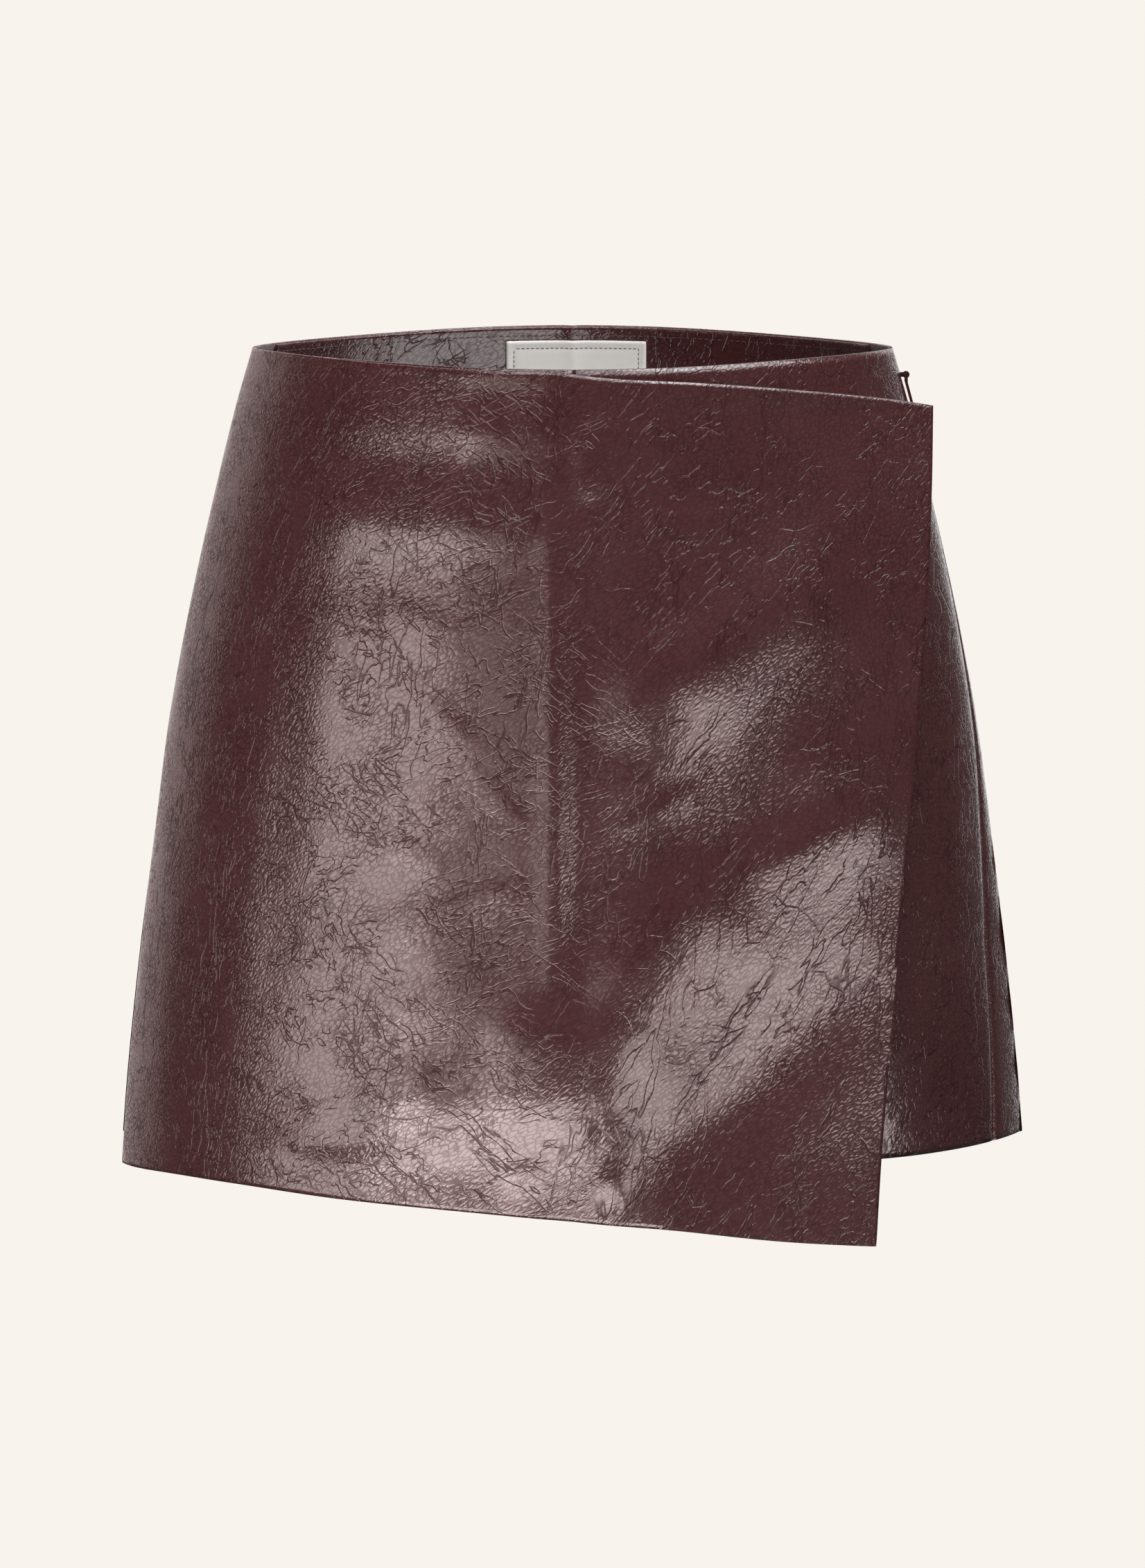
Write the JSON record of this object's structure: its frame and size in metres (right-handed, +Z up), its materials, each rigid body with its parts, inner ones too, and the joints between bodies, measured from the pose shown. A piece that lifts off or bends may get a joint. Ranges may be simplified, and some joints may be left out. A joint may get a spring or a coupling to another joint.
{
  "type": "wrap-front mini skort",
  "caption": "Mini skort of stiff grained leather-look cloth: wide shorts under a wrap panel that is free along one slanting edge, with a concealed side zip, held open as when worn.",
  "frame": {"origin": "centre of the waist opening at the height of its top edge, where the wearer's waist holds it", "axes": "+Z up out of the waist, -Y the front with the wrap panel, +X the side of the zip and of the free edge, on the right of somebody who looks at the front"},
  "size_m": [0.3824, 0.2455, 0.3685],
  "materials": {
    "front_flap": "dark oxblood, pebble grained, soft sheen",
    "front_left": "dark oxblood, pebble grained, soft sheen",
    "front_right": "dark oxblood, pebble grained, soft sheen",
    "back_left": "dark oxblood, pebble grained, soft sheen",
    "back_right": "dark oxblood, pebble grained, soft sheen",
    "back_facing": "dark oxblood, pebble grained, soft sheen",
    "label": "blank woven satin, pale grey",
    "zip_tape_front": "woven tape dyed to match",
    "zip_tape_back": "woven tape dyed to match",
    "zip_slider": "dyed to match, satin",
    "zip_pull": "dyed to match, satin"
  },
  "bodies": {
    "garment": {"front_flap": "front_flap", "front_left": "front_left", "front_right": "front_right", "back_left": "back_left", "back_right": "back_right", "back_facing": "back_facing", "label": "label", "zip_tape_front": "zip_tape_front", "zip_tape_back": "zip_tape_back", "zip_slider": "zip_slider"},
    "pull": {"zip_pull": "zip_pull"}
  },
  "joints": [
    {"name": "pull_hinge", "type": "hinge", "parent": "garment", "child": "pull", "pos_m": [0.14086, 0, -0.0115], "axis": [0, -1, 0], "range_deg": [0, 150]}
  ]
}
